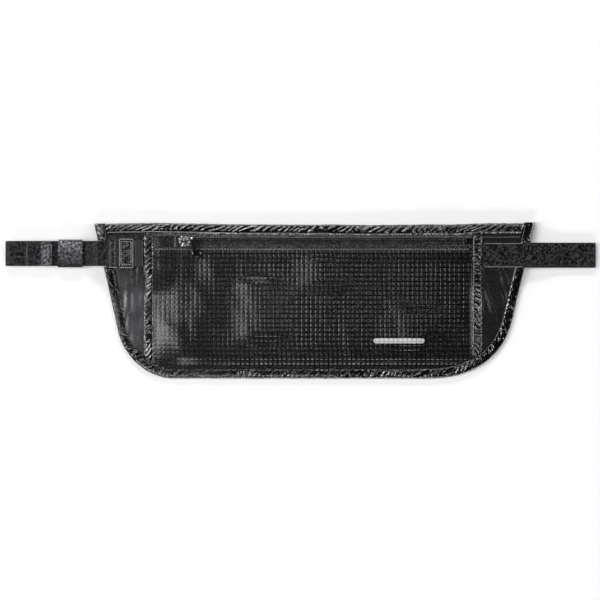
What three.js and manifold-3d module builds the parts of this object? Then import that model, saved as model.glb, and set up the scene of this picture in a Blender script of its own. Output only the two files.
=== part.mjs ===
// Flat waist money belt lying face up: a zipped pouch, its elastic waist strap folded behind it and
// clipped together under the left wing.
// Millimetres. +X runs along the belt, +Y to the pouch's top edge, +Z up from the surface it lies on.
// The origin is the middle of the underside of the whole object's box.
import * as THREE from "three";
import { mergeVertices } from "three/addons/utils/BufferGeometryUtils.js";
import Module from "manifold-3d";

const wasm = await Module();
wasm.setup();

// ---------------------------------------------------------------- driving dimensions
const GAP = 0.3; // clear space between neighbouring solids
const CLOTH = 0.5; // thickness of every woven panel
const TAPE = 0.4; // thickness of one leg of the folded binding tape

// Pouch outline: straight slanting sides that run into one rounded bottom corner each.
const TOP_Y = 60.9;
const BOTTOM_Y = -62.1;
const LEFT = { topX: -164.5, slant: 0.222, cornerY: -25, cornerX: 34.4, power: 2 };
const RIGHT = { topX: 186.5, slant: 0.234, cornerY: -11.6, cornerX: 58.8, power: 2.5 };
const EDGE_BINDING = 7.6; // width of the tape round the sides and bottom
const TOP_BINDING = 9.2; // width of the tape along the top
const BINDING_WALL = 0.8; // the fold of the tape round the cloth's raw edge
const BINDING_EAR = 1.2; // the side tapes stand this far above the top edge
const POCKET_LEFT = -117.4; // inner edges of the two upright tapes
const POCKET_RIGHT = 137;
const POCKET_BINDING = 8;

// Zip
const ZIP_Y = 47;
const COIL = { width: 1.8, clear: 0.5, low: -0.3, high: 1.2 }; // low and high are from the tape
const SLIDER_X = -91.8; // middle of the slider with the zip closed
const SLIDER_LENGTH = 10.8;
const ZIP_END_X = 130; // left face of the bottom stop
const POCKET_TOP = 41.6; // folded top edge of the pocket's front
const TAPE_LOWER_Y = 37.5; // hidden edge of the lower tape
const TAPE_UPPER_Y = 57.5;
const HEM_LIFT = 0.8; // the folded edge lies on the tape
const HEM_FROM = 30;
const HEM_TO = 36;

// Strap: 20 mm elastic
const STRAP_Y = 37.2;
const STRAP_WIDTH = 20;
const STRAP = 1;
const FOLD_X = 236.4; // furthest reach of both folds from the origin

// Layers over the surface on which the belt lies, from the underside up.
const BACK = { low: TAPE + GAP, high: TAPE + GAP + 0.6 };
const BASE = { low: BACK.high + GAP, high: BACK.high + GAP + CLOTH };
const FRONT_LOW = BASE.high + GAP;
const BINDING_HIGH = CLOTH + GAP + TAPE; // top of the tape, from the front cloth's underside
const WING_TOP = FRONT_LOW + BINDING_HIGH;

// The pouch rises over the strap behind it, and more over the buckle.
const OVER_BUCKLE = 5.3;
const OVER_STRAP = 2.6;
const POCKET_DEPTH = 4.3; // how far the empty pocket stands open in its middle
const POCKET_DEPTH_AT_ZIP = 1.4;

// ---------------------------------------------------------------- height of the pouch
// Straight-line interpolation through [position, value] pairs.
function along(pairs, at) {
  if (at <= pairs[0][0]) return pairs[0][1];
  for (let i = 1; i < pairs.length; i++) {
    const [a, b] = [pairs[i - 1], pairs[i]];
    if (at <= b[0]) return a[1] + ((b[1] - a[1]) * (at - a[0])) / (b[0] - a[0]);
  }
  return pairs.at(-1)[1];
}

const LIFT_ACROSS = [[6, 0], [23.4, 1], [51, 1], [TOP_Y + 1.4, 0.26]];
const LIFT_ALONG = [[-110, OVER_BUCKLE], [-100, OVER_STRAP]];
const DEPTH_ACROSS = [
  [-54, 0], [-46, 3.2], [-38, POCKET_DEPTH], [6, POCKET_DEPTH],
  [23.4, POCKET_DEPTH_AT_ZIP], [51, POCKET_DEPTH_AT_ZIP], [TOP_Y, 0],
];
const DEPTH_ALONG = [[-122, 0], [-108, 1], [131, 1], [141.5, 0]];

const under = (x, y) => along(LIFT_ACROSS, y) * along(LIFT_ALONG, x);
const front = (x, y) => under(x, y) + FRONT_LOW + along(DEPTH_ACROSS, y) * along(DEPTH_ALONG, x);
const hem = (x, y) => front(x, y) + along([[HEM_FROM, 0], [HEM_TO, HEM_LIFT]], y);
const raised = (surface, by) => (x, y) => surface(x, y) + by;

// Every layer bends on the same grid lines, so that neighbours stay parallel.
const GRID_X = [
  -170, -122, -115, -110, -108, -100, -50, 0, 50, 100, 131, 136, 141.5, 192,
];
const GRID_Y = [-66, -54, -46, -38, -16, 6, 14, 23.4, HEM_FROM, HEM_TO, 51, TOP_Y, TOP_Y + 1.4];

// ---------------------------------------------------------------- solids
function toSolid(geometry) {
  const bare = geometry.clone();
  bare.deleteAttribute("normal");
  bare.deleteAttribute("uv");
  const merged = mergeVertices(bare, 1e-4);
  const mesh = new wasm.Mesh({
    numProp: 3,
    vertProperties: new Float32Array(merged.attributes.position.array),
    triVerts: new Uint32Array(merged.index.array),
  });
  return new wasm.Manifold(mesh);
}

function toGeometry(solid) {
  const mesh = solid.getMesh();
  const geometry = new THREE.BufferGeometry();
  geometry.setAttribute("position", new THREE.BufferAttribute(mesh.vertProperties, 3));
  geometry.setIndex(new THREE.BufferAttribute(mesh.triVerts, 1));
  geometry.computeVertexNormals();
  return geometry;
}

const joined = (first, ...rest) => rest.reduce((sum, solid) => sum.add(solid), first);

function block(x0, x1, y0, y1, z0, z1) {
  const geometry = new THREE.BoxGeometry(x1 - x0, y1 - y0, z1 - z0);
  return toSolid(geometry.translate((x0 + x1) / 2, (y0 + y1) / 2, (z0 + z1) / 2));
}

function disc(x, y, radius, z0, z1, sides = 20) {
  const geometry = new THREE.CylinderGeometry(radius, radius, z1 - z0, sides);
  return toSolid(geometry.rotateX(Math.PI / 2).translate(x, y, (z0 + z1) / 2));
}

// An upright prism over a closed list of [x, y] points.
function prism(points, z0 = -5, z1 = 30) {
  const shape = new THREE.Shape(points.map(([x, y]) => new THREE.Vector2(x, y)));
  const options = { depth: z1 - z0, bevelEnabled: false };
  return toSolid(new THREE.ExtrudeGeometry(shape, options).translate(0, 0, z0));
}

const rectangle = (x0, x1, y0, y1) => prism([[x0, y0], [x1, y0], [x1, y1], [x0, y1]]);

// A closed slab over the whole grid, between two surfaces.
function slab(low, high) {
  const nx = GRID_X.length;
  const ny = GRID_Y.length;
  const positions = [];
  for (const surface of [low, high])
    for (const y of GRID_Y) for (const x of GRID_X) positions.push(x, y, surface(x, y));
  const at = (i, j, top) => top * nx * ny + j * nx + i;
  const faces = [];
  const quad = (a, b, c, d) => faces.push(a, b, c, a, c, d);
  for (let j = 0; j < ny - 1; j++)
    for (let i = 0; i < nx - 1; i++) {
      quad(at(i, j, 1), at(i + 1, j, 1), at(i + 1, j + 1, 1), at(i, j + 1, 1));
      // The underside is split along the same diagonal as the top.
      faces.push(at(i, j, 0), at(i + 1, j + 1, 0), at(i + 1, j, 0));
      faces.push(at(i, j, 0), at(i, j + 1, 0), at(i + 1, j + 1, 0));
    }
  for (let i = 0; i < nx - 1; i++) {
    quad(at(i, 0, 0), at(i + 1, 0, 0), at(i + 1, 0, 1), at(i, 0, 1));
    quad(at(i + 1, ny - 1, 0), at(i, ny - 1, 0), at(i, ny - 1, 1), at(i + 1, ny - 1, 1));
  }
  for (let j = 0; j < ny - 1; j++) {
    quad(at(0, j + 1, 0), at(0, j, 0), at(0, j, 1), at(0, j + 1, 1));
    quad(at(nx - 1, j, 0), at(nx - 1, j + 1, 0), at(nx - 1, j + 1, 1), at(nx - 1, j, 1));
  }
  const geometry = new THREE.BufferGeometry();
  geometry.setAttribute("position", new THREE.Float32BufferAttribute(positions, 3));
  geometry.setIndex(faces);
  return toSolid(geometry);
}

// The part of a layer of cloth that lies over an upright region.
const layer = (region, low, high) => slab(low, high).intersect(region);

// ---------------------------------------------------------------- outline of the pouch
// X of a side at height y: a slanting line, and a superellipse below the corner's start.
function sideX(side, inward, y) {
  const straight = side.topX + inward * side.slant * (TOP_Y - y);
  const t = Math.min(1, Math.max(0, (side.cornerY - y) / (side.cornerY - BOTTOM_Y)));
  const pull = 1 - Math.pow(1 - Math.pow(t, side.power), 1 / side.power);
  return straight + inward * side.cornerX * pull;
}

// Points down one side, evenly spaced round its corner.
function sidePoints(side, inward, topY) {
  const points = [[sideX(side, inward, topY), topY], [sideX(side, inward, 5), 5]];
  const steps = 9;
  for (let i = 0; i <= steps; i++) {
    const t = Math.sin(((i / steps) * Math.PI) / 2);
    const y = side.cornerY - t * (side.cornerY - BOTTOM_Y);
    points.push([sideX(side, inward, y), y]);
  }
  return points;
}

// The open line down the left side, along the bottom and up the right side, moved inward.
function edgeLine(inset, topY) {
  const left = sidePoints(LEFT, 1, topY);
  const right = sidePoints(RIGHT, -1, topY).reverse();
  const line = [...left, ...right].map(([x, y]) => new THREE.Vector2(x, y));
  return line.map((point, i) => {
    const before = line[Math.max(i - 1, 0)];
    const after = line[Math.min(i + 1, line.length - 1)];
    const into = i > 0 ? point.clone().sub(before) : after.clone().sub(point);
    const out = i < line.length - 1 ? after.clone().sub(point) : into.clone();
    const normals = [into, out].map((v) => new THREE.Vector2(-v.y, v.x).normalize());
    const mitre = normals[0].clone().add(normals[1]).normalize();
    const reach = inset / Math.max(0.5, mitre.dot(normals[0]));
    return [point.x + mitre.x * reach, point.y + mitre.y * reach];
  });
}

// The outline, with each end of the edge line carried straight up past topY and cut off there.
function outline(inset, topY) {
  const line = edgeLine(inset, TOP_Y + 10);
  return prism(line).intersect(rectangle(-260, 260, -100, topY));
}

const edge_region = outline(0, TOP_Y + BINDING_EAR).subtract(outline(EDGE_BINDING, TOP_Y + 20));
const edge_fold = outline(0, TOP_Y + BINDING_EAR).subtract(outline(BINDING_WALL, TOP_Y + 20));
const inside_edge = outline(EDGE_BINDING + GAP, TOP_Y);
const cloth_region = outline(BINDING_WALL + GAP, TOP_Y - BINDING_WALL - GAP);
const top_band = (y0, y1) => inside_edge.intersect(rectangle(-260, 260, y0, y1));

// ---------------------------------------------------------------- pouch
// Tape folded round the raw edges of all the panels.
function binding(region, fold) {
  const top = raised(front, BINDING_HIGH);
  return joined(
    layer(region, under, raised(under, TAPE)),
    layer(region, raised(top, -TAPE), top),
    layer(fold, under, top),
  );
}

// Tape over one raw side of the pocket's front: a flat leg and a short outer leg down to the base.
function pocketBinding(x0, x1, outer_x0, outer_x1) {
  const above_edge = outline(EDGE_BINDING + GAP, TOP_Y - TOP_BINDING - GAP);
  const over = (a, b) => rectangle(a, b, -100, 100).intersect(above_edge);
  const top = raised(hem, BINDING_HIGH);
  const base = raised(under, FRONT_LOW);
  return joined(
    layer(over(x0, x1), raised(top, -TAPE), top),
    layer(over(outer_x0, outer_x1), base, top),
  );
}

const pocket_edge = 4.6; // how far the pocket's front runs under each upright tape
const front_region = cloth_region.intersect(
  rectangle(POCKET_LEFT - pocket_edge, POCKET_RIGHT + pocket_edge - 0.1, -100, POCKET_TOP),
);

function zipTape(y0, y1) {
  const region = rectangle(POCKET_LEFT - pocket_edge, POCKET_RIGHT + pocket_edge - 0.1, y0, y1);
  return layer(region, front, raised(front, CLOTH));
}

const ZIP_Z = front(0, ZIP_Y); // underside of the zip's tapes along the slider's whole travel
const coil_x0 = SLIDER_X - SLIDER_LENGTH / 2 + 3.2;

function zipCoil(side) {
  const near = ZIP_Y + side * COIL.clear;
  const far = near + side * COIL.width;
  const [y0, y1] = [Math.min(near, far), Math.max(near, far)];
  return block(coil_x0, ZIP_END_X - GAP, y0, y1, ZIP_Z + COIL.low, ZIP_Z + COIL.high);
}

const coil_edge = COIL.clear + COIL.width + GAP; // where the tape starts, from the zip's middle
const slider_left = SLIDER_X - SLIDER_LENGTH / 2;
const slider_right = SLIDER_X + SLIDER_LENGTH / 2;

function topStop(side) {
  const [a, b] = [0.4, coil_edge - GAP].map((reach) => ZIP_Y + side * reach);
  const x1 = slider_left - GAP;
  return block(x1 - 2, x1, Math.min(a, b), Math.max(a, b), ZIP_Z - 0.4, ZIP_Z + 1.3);
}

const bottom_stop = block(
  ZIP_END_X, ZIP_END_X + 2.4,
  ZIP_Y - coil_edge + GAP, ZIP_Y + coil_edge - GAP,
  ZIP_Z - 0.5, ZIP_Z + 1.4,
);

const end_tab = layer(
  rectangle(POCKET_LEFT + GAP, slider_left - 2.8, POCKET_TOP + GAP, TOP_Y - TOP_BINDING - GAP),
  raised(front, CLOTH + GAP),
  raised(front, 2 * CLOTH + GAP),
);

// A plain printed bar near the pocket's lower right corner.
const printed_bar = layer(
  rectangle(58, 98.8, -34.6, -30.6),
  raised(front, CLOTH + GAP),
  raised(front, CLOTH + GAP + 0.25),
);

// ---------------------------------------------------------------- zip slider and puller
const PLATE = 0.8;
const plate_low = ZIP_Z - 1.4;
const plate_high = ZIP_Z + COIL.high + GAP;
const slider_top = plate_high + PLATE;
const SLIDER_HALF = { wide: 4.2, narrow: 3.4 };

// Outline of the slider's plates: shoulders at the left, where the two coils part.
function sliderPlate(z0, z1, grow = 0) {
  const { wide, narrow } = SLIDER_HALF;
  const half = [
    [slider_left, 2.2], [slider_left + 1.4, wide], [slider_left + 4, wide], [slider_right - 3, narrow],
    [slider_right - 0.6, narrow], [slider_right, narrow - 0.8],
  ].map(([x, y]) => [x, y + grow]);
  const upper = half.map(([x, y]) => [x, ZIP_Y + y]);
  const lower = half.map(([x, y]) => [x, ZIP_Y - y]);
  return prism([...lower, ...upper.reverse()], z0, z1);
}

const CROWN = { x0: -96, x1: -89.4, foot: 1.2, half: 0.7, open: 1.6, bar: 0.8 };

function zipSlider() {
  const channel = coil_edge + 0.05; // half width of the way through for the coils
  const bottom = sliderPlate(plate_low, plate_low + PLATE);
  const top = sliderPlate(plate_high, slider_top);
  const flange = (z0, z1) =>
    sliderPlate(z0, z1).subtract(
      block(slider_left - 1, slider_right + 1, ZIP_Y - channel, ZIP_Y + channel, z0 - 1, z1 + 1),
    );
  const lower_flanges = flange(plate_low, ZIP_Z - GAP);
  const upper_flanges = flange(ZIP_Z + CLOTH + GAP, slider_top);
  const post = block(slider_left + 0.6, slider_left + 2.4, ZIP_Y - 0.2, ZIP_Y + 0.2, plate_low, slider_top);
  const { x0, x1, foot, half, open, bar } = CROWN;
  const crown = block(x0, x1, ZIP_Y - half, ZIP_Y + half, slider_top - 0.1, slider_top + open + bar);
  const eye = block(x0 + foot, x1 - foot, ZIP_Y - 1, ZIP_Y + 1, slider_top, slider_top + open);
  return joined(bottom, top, lower_flanges, upper_flanges, post, crown.subtract(eye));
}

// The metal link turns about a thin crossbar held under the slider's crown.
const LINK = {
  pivotX: -93.15, pivotZ: slider_top + CROWN.open / 2,
  bar: 0.9, rail: 2.6, eye: 1.6, hole: 6.15, holeR: 1, padR: 2, tilt: 15,
};

function pullLink() {
  const { bar, rail, eye, hole, holeR, padR } = LINK;
  const half = bar / 2;
  const frame = block(-half, hole - 1.4, -rail, rail, -half, half);
  const pad = disc(hole, 0, padR, -half, half);
  const opening = block(half, hole - 1.8, -eye, eye, -1, 1);
  const solid = joined(frame, pad).subtract(opening).subtract(disc(hole, 0, holeR, -1, 1));
  return toGeometry(solid)
    .rotateY((-LINK.tilt * Math.PI) / 180)
    .translate(LINK.pivotX, ZIP_Y, LINK.pivotZ);
}

const tilt = (LINK.tilt * Math.PI) / 180;
const PULL = {
  x: LINK.pivotX + LINK.hole * Math.cos(tilt),
  z: LINK.pivotZ + LINK.hole * Math.sin(tilt),
  turn: (-66.4 * Math.PI) / 180,
  length: 14.6, discR: 4.2, neck: 1.7, low: 8.25, high: 10.5,
};

// Moulded grip: a clevis with a pin through the link's hole, and a round finger tag.
function pullGrip() {
  const { z, length, discR, neck, low, high } = PULL;
  const arm = { low: z - 1.75, high: z + 1.75, thick: 0.6, half: 1.1, root: 2.9 };
  const lower = block(-0.9, arm.root + 1, -arm.half, arm.half, arm.low, arm.low + arm.thick);
  const upper = block(-0.9, arm.root + 1, -arm.half, arm.half, arm.high - arm.thick, arm.high);
  const pin = disc(0, 0, 0.5, arm.low, arm.high, 12);
  const root = block(arm.root, arm.root + 2.8, -neck, neck, slider_top + GAP, arm.high);
  const stem = block(arm.root + 2.6, length - discR, -neck, neck, low, high);
  const tag = disc(length - discR, 0, discR, low, high, 28);
  const dimple = disc(length - discR, 0, 2.4, high - 0.5, high + 1, 20);
  return toGeometry(joined(lower, upper, pin, root, stem, tag).subtract(dimple))
    .rotateZ(PULL.turn)
    .translate(PULL.x, ZIP_Y, 0);
}

// ---------------------------------------------------------------- straps
// Half a turn in the XZ plane about (x, z), from angle a to angle b in degrees.
function turn(x, z, radius, a, b, steps = 8) {
  return Array.from({ length: steps + 1 }, (_, i) => {
    const angle = ((a + ((b - a) * i) / steps) * Math.PI) / 180;
    return [x + radius * Math.cos(angle), z + radius * Math.sin(angle)];
  });
}

// A band that follows a line of [x, z] points, with its width along Y.
function band(line, thickness, y0, y1) {
  const points = line.map(([x, z]) => new THREE.Vector2(x, z));
  const sides = [1, -1].map((side) =>
    points.map((point, i) => {
      const into = i > 0 ? point.clone().sub(points[i - 1]).normalize() : null;
      const out = i < points.length - 1 ? points[i + 1].clone().sub(point).normalize() : null;
      const along_line = (into ?? out).clone().add(out ?? into).normalize();
      const normal = new THREE.Vector2(-along_line.y, along_line.x);
      const square = new THREE.Vector2(-(into ?? out).y, (into ?? out).x);
      return point.clone().addScaledVector(normal, (side * thickness) / 2 / normal.dot(square));
    }),
  );
  const shape = new THREE.Shape([...sides[0], ...sides[1].reverse()]);
  const options = { depth: y1 - y0, bevelEnabled: false };
  return toSolid(new THREE.ExtrudeGeometry(shape, options).rotateX(Math.PI / 2).translate(0, y1, 0));
}

const strap = (line) => band(line, STRAP, STRAP_Y - STRAP_WIDTH / 2, STRAP_Y + STRAP_WIDTH / 2);

const left_tape_x = POCKET_LEFT - POCKET_BINDING; // outer edges of the two upright tapes
const right_tape_x = POCKET_RIGHT + POCKET_BINDING;
const BUCKLE_Z = 2.5; // mid height of the buckle's strap bars
const LOOP = 2; // radius of a strap round a buckle bar, at its middle
const level = { tail: STRAP / 2, behind: 1.5 * STRAP + GAP, front: 4.2, tail_front: 5.5 };
const left_fold = { x: -FOLD_X + 3, z: 3, inner: 1.2, outer: 2.5 };
const left_wing_z = OVER_BUCKLE + WING_TOP + GAP + STRAP / 2;
const right_wing_z = OVER_STRAP + WING_TOP + GAP + STRAP / 2;
const male_bar_x = -147.8;
const female_bar_x = -113.8;
const TAIL_END = -198.8;
const HEM_LENGTH = 8.8;

// The left strap runs from the wing round the fold, through the buckle and back as the loose tail,
// which lies outside it and ends in a sewn hem on the front. It is three solids, parted at the seam
// where the length that gives way to the buckle begins.
const SEAM_X = -174;

const strapLeft = () =>
  strap([
    [left_tape_x - GAP, left_wing_z], [-162.4, left_wing_z], [-164.5, left_wing_z - 0.7],
    [-170.5, level.front + 0.7], [-173, level.front],
    ...turn(left_fold.x, left_fold.z, left_fold.inner, 90, 270),
    [SEAM_X, level.behind],
  ]);

function strapTail() {
  const y0 = STRAP_Y - STRAP_WIDTH / 2;
  const top = level.tail_front + STRAP / 2;
  const hem_fold = block(TAIL_END - HEM_LENGTH, TAIL_END, y0, y0 + STRAP_WIDTH, top - 0.1, top + STRAP);
  const line = [
    [SEAM_X, level.tail],
    ...turn(left_fold.x, left_fold.z, left_fold.outer, 270, 90, 10),
    [TAIL_END, level.tail_front],
  ];
  return joined(strap(line), hem_fold);
}

const strapLoop = () =>
  strap([
    [SEAM_X + GAP, level.behind], [-167, level.behind], [-158.5, BUCKLE_Z + LOOP],
    ...turn(male_bar_x, BUCKLE_Z, LOOP, 90, -90),
    [SEAM_X + GAP, level.tail],
  ]);

// The other length: from the wing, round its fold and behind the whole pouch to a loop sewn
// round the buckle's bar.
function strapRight() {
  const fold = 1.5;
  const line = [
    [right_tape_x + GAP, right_wing_z], [184, right_wing_z], [190, right_wing_z - 0.8],
    [204, level.tail + 2 * fold + 0.4], [212, level.tail + 2 * fold],
    ...turn(FOLD_X - fold - STRAP / 2, level.tail + fold, fold, 90, -90),
    ...turn(female_bar_x, BUCKLE_Z, LOOP, 270, 90),
    [-110, BUCKLE_Z + LOOP], [-102, level.behind], [-92, level.behind],
  ];
  return strap(line);
}

const KEEPER = { x0: -195, x1: -174.2, half: 11.1, wall: 0.8, low: 2.6, high: 8.1 };

function strapKeeper() {
  const { x0, x1, half, wall, low, high } = KEEPER;
  const outer = block(x0, x1, STRAP_Y - half, STRAP_Y + half, low, high);
  const inner = half - wall;
  return outer.subtract(
    block(x0 - 1, x1 + 1, STRAP_Y - inner, STRAP_Y + inner, low + wall, high - wall),
  );
}

// Webbing patch over the strap on the left wing, folded double where it is box-stitched.
function anchorTab() {
  const low = left_wing_z + STRAP / 2 + GAP;
  const half = 12;
  const single = block(-154, -133.2, STRAP_Y - half, STRAP_Y + half, low, low + 0.8);
  const double = block(-145.2, -133.2, STRAP_Y - half, STRAP_Y + half, low, low + 1.6);
  return joined(single, double);
}

// ---------------------------------------------------------------- side-release buckle
const BUCKLE = { high: 5, half: 12.5, wall: 1.1 };
const FEMALE = { x0: -138, x1: -118.5, mouth: 9.6, room: 10.7, window0: -131.5, window1: -122.5 };
const MALE = { x0: -155, x1: -139.5, half: 12.2, low: 1.5, high: 3.4 };
const LATCH = { x0: -139.2, x1: -123.5, head: -130.5, half: [6.7, 8.3], reach: 11.4, low: 1.5, high: 3.5 };
const buckle_block = (x0, x1, half, z0, z1) =>
  block(x0, x1, STRAP_Y - half, STRAP_Y + half, z0, z1);

function buckleFemale() {
  const { high, half, wall } = BUCKLE;
  const { x0, x1, mouth, room, window0, window1 } = FEMALE;
  const shell = buckle_block(x0, x1, half, 0, high);
  const entry = buckle_block(x0 - 1, window0 + 0.1, mouth, wall, high - wall);
  const chamber = buckle_block(window0, x1 - 2.5, room, wall, high - wall);
  const windows = buckle_block(window0, window1, half + 1, wall, high - wall);
  const bar_end = female_bar_x + 1.6;
  const rails = buckle_block(x1 - 0.1, bar_end, half, 1.4, 3.6);
  const gap = buckle_block(x1, bar_end + 1, 10.6, 0, 5);
  const bar = buckle_block(female_bar_x - 0.8, female_bar_x + 1.2, half, 1.7, 3.3);
  return joined(shell.subtract(entry).subtract(chamber).subtract(windows), rails.subtract(gap), bar);
}

function buckleMale() {
  const { x0, x1, half, low, high } = MALE;
  const frame = buckle_block(x0, x1, half, low, high);
  const slots = joined(
    buckle_block(x0 + 2.4, male_bar_x - 1.4, 10.5, 0, 5),
    buckle_block(male_bar_x + 0.8, x1 - 3.4, 10.5, 0, 5),
  );
  const thin_bar = joined(
    buckle_block(male_bar_x - 1.5, male_bar_x + 0.9, 10.5, 3.2, 5),
    buckle_block(male_bar_x - 1.5, male_bar_x + 0.9, 10.5, 0, 1.8),
  );
  const tongue = buckle_block(x1 - 0.1, -124, 2.2, 1.6, 3.4);
  return joined(frame.subtract(slots).subtract(thin_bar), tongue);
}

// One springy arm with its barbed head, which shows in the side window.
function latchArm(side) {
  const { x0, x1, head, half, reach, low, high } = LATCH;
  const points = [
    [x0, half[0]], [x1 - 1, half[0] - 0.4], [x1, half[0] + 0.6], [x1 + 0.2, half[1]],
    [head + 2.2, reach], [head, reach], [head, half[1]], [x0, half[1]],
  ].map(([x, y]) => [x, STRAP_Y + side * y]);
  return prism(side > 0 ? points : points.reverse(), low, high);
}

// ---------------------------------------------------------------- assembly
const black = (roughness, value = 0x1c1c1e, metalness = 0) =>
  new THREE.MeshStandardMaterial({ color: value, roughness, metalness });
const MATERIALS = {
  ripstop: black(0.55, 0x232326),
  lining: black(0.9, 0x1b1b1d),
  binding: black(0.35, 0x161617),
  webbing: black(0.8, 0x1f1f23),
  zip: black(0.7, 0x1d1d20),
  coil: black(0.4, 0x151516),
  metal: black(0.35, 0x2a2a2c, 0.9),
  rubber: black(0.5, 0x101011),
  plastic: black(0.4, 0x141416),
  print: black(0.6, 0xc9c9c9),
};

const belt = new THREE.Group();

function add(name, material, shape) {
  const geometry = shape.isBufferGeometry ? shape : toGeometry(shape);
  const mesh = new THREE.Mesh(geometry, MATERIALS[material]);
  mesh.name = name;
  belt.add(mesh);
}

const top_region = top_band(TOP_Y - TOP_BINDING, TOP_Y);
const top_fold = top_band(TOP_Y - BINDING_WALL, TOP_Y);

add("back_panel", "lining", layer(cloth_region, raised(under, BACK.low), raised(under, BACK.high)));
add("base_panel", "ripstop", layer(cloth_region, raised(under, BASE.low), raised(under, BASE.high)));
add("pocket_front", "ripstop", layer(front_region, hem, raised(hem, CLOTH)));
add("edge_binding", "binding", binding(edge_region, edge_fold));
add("top_binding", "binding", binding(top_region, top_fold));
add("pocket_binding_left", "binding",
  pocketBinding(left_tape_x, POCKET_LEFT, left_tape_x, left_tape_x + BINDING_WALL));
add("pocket_binding_right", "binding",
  pocketBinding(POCKET_RIGHT, right_tape_x, right_tape_x - BINDING_WALL, right_tape_x));
add("printed_bar", "print", printed_bar);

add("zip_tape_upper", "zip", zipTape(ZIP_Y + coil_edge, TAPE_UPPER_Y));
add("zip_tape_lower", "zip", zipTape(TAPE_LOWER_Y, ZIP_Y - coil_edge));
add("zip_coil_upper", "coil", zipCoil(1));
add("zip_coil_lower", "coil", zipCoil(-1));
add("zip_top_stop_upper", "metal", topStop(1));
add("zip_top_stop_lower", "metal", topStop(-1));
add("zip_bottom_stop", "metal", bottom_stop);
add("zip_end_tab", "zip", end_tab);
add("zip_slider", "metal", zipSlider());
add("pull_link", "metal", pullLink());
add("pull_grip", "rubber", pullGrip());

add("strap_left", "webbing", strapLeft());
add("strap_tail", "webbing", strapTail());
add("strap_loop", "webbing", strapLoop());
add("strap_right", "webbing", strapRight());
add("strap_keeper", "webbing", strapKeeper());
add("anchor_tab", "webbing", anchorTab());
add("buckle_female", "plastic", buckleFemale());
add("buckle_male", "plastic", buckleMale());
add("buckle_latch_upper", "plastic", latchArm(1));
add("buckle_latch_lower", "plastic", latchArm(-1));

export default belt;
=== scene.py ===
"""Looks of a flat money belt that lies face up: ripstop pouch, puckered binding, zip and elastic strap.

Lengths in this file are in millimetres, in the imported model's frame, and become metres in build().
"""

import math

import bmesh
import bpy
import numpy as np
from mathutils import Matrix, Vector


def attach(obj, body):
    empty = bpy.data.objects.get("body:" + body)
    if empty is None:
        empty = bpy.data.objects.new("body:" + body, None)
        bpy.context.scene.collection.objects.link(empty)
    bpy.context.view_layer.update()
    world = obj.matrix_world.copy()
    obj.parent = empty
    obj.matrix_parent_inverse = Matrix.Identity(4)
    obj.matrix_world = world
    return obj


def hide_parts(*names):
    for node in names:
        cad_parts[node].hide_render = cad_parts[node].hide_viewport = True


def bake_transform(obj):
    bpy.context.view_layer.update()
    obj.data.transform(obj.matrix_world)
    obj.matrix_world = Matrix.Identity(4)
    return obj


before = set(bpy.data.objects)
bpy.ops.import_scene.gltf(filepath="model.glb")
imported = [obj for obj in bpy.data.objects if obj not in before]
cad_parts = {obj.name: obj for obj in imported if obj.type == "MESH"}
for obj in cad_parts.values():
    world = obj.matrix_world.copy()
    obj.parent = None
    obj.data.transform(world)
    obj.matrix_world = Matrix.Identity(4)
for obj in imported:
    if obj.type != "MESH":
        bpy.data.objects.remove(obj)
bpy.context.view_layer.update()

MM = 0.001

# ---- dimensions, as in the solid model
TOP_Y, BOTTOM_Y = 60.9, -62.1
LEFT = {"top_x": -164.5, "slant": 0.222, "corner_y": -25, "corner_x": 34.4, "power": 2, "inward": 1}
RIGHT = {"top_x": 186.5, "slant": 0.234, "corner_y": -11.6, "corner_x": 58.8, "power": 2.5, "inward": -1}
EDGE_TAPE = 7.8  # width of the tape round the sides and bottom
TOP_TAPE = 8.0  # width of the tape along the top
TAPE_THICK, TAPE_BACK = 0.42, 0.36  # of the tape in front, and of its leg behind
TAPE_FACE = 1.05  # height of the tape's face above the cloth
TAPE_TURN = 1.2  # inset at which the tape starts to turn round the edge
LEFT_EAR, RIGHT_EAR = 0.2, 1.2  # the side tapes stand this far above the top edge
POCKET_LEFT, POCKET_RIGHT = -117.4, 137.0
POCKET_TOP = 41.6
UPRIGHT = 8.0  # width of the tapes up the pocket's sides
UPRIGHT_END_Y = 54.8
UPRIGHT_ROWS = (0.14, 0.86)  # where the stitches run, as shares of the tape's width
POCKET_SIDES = (("left", POCKET_LEFT, -1, 53), ("right", POCKET_RIGHT, 1, 57))  # name, inner x, outward, seed
RIPSTOP_PITCH = 3.7
ZIP_Y = 47.0
STRAP_Y, STRAP_HALF = 37.2, 10.0
BASE_LOW, BASE_HIGH = 1.6, 2.1
FRONT_LOW = 2.4
WING_TOP = FRONT_LOW + 1.2
SEAM_X = -174.0
CORNER_Y = -11.0  # the panels' rows crowd together below this
KEEPER_LEFT, KEEPER_RIGHT = -193.9, -174.4

# The stage, in metres.
CAMERA_HEIGHT, CAMERA_SHIFT = 4.0, -0.0006
VIEW_WIDTH = 0.48
SENSOR_WIDTH = 36  # millimetres

# How far the upper edge stands above TOP_Y along x.
TOP_RISE = [
    (-150, 0.1), (-120, 0.7), (-95, 0.6), (-68, -0.1), (-45, -0.5),
    (40, -0.6), (64, -0.9), (120, -0.3), (150, 0.5), (170, 0.7),
]

# The underside is a height along x times a share across y.
# The pocket's depth is a height across y times a share along x.
LIFT_ACROSS = [(6, 0), (23.4, 1), (51, 1), (62.1, 0.26)]
LIFT_ALONG = [(-110, 5.3), (-100, 2.6)]
DEPTH_ACROSS = [(-54, 0), (-46, 3.2), (-38, 4.3), (6, 4.3), (23.4, 1.4), (51, 1.4), (60.9, 0)]
DEPTH_ALONG = [(-122, 0), (-97, 1), (135, 1), (143.5, 0)]
HEM = [(30, 0), (36, 0.8)]

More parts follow.
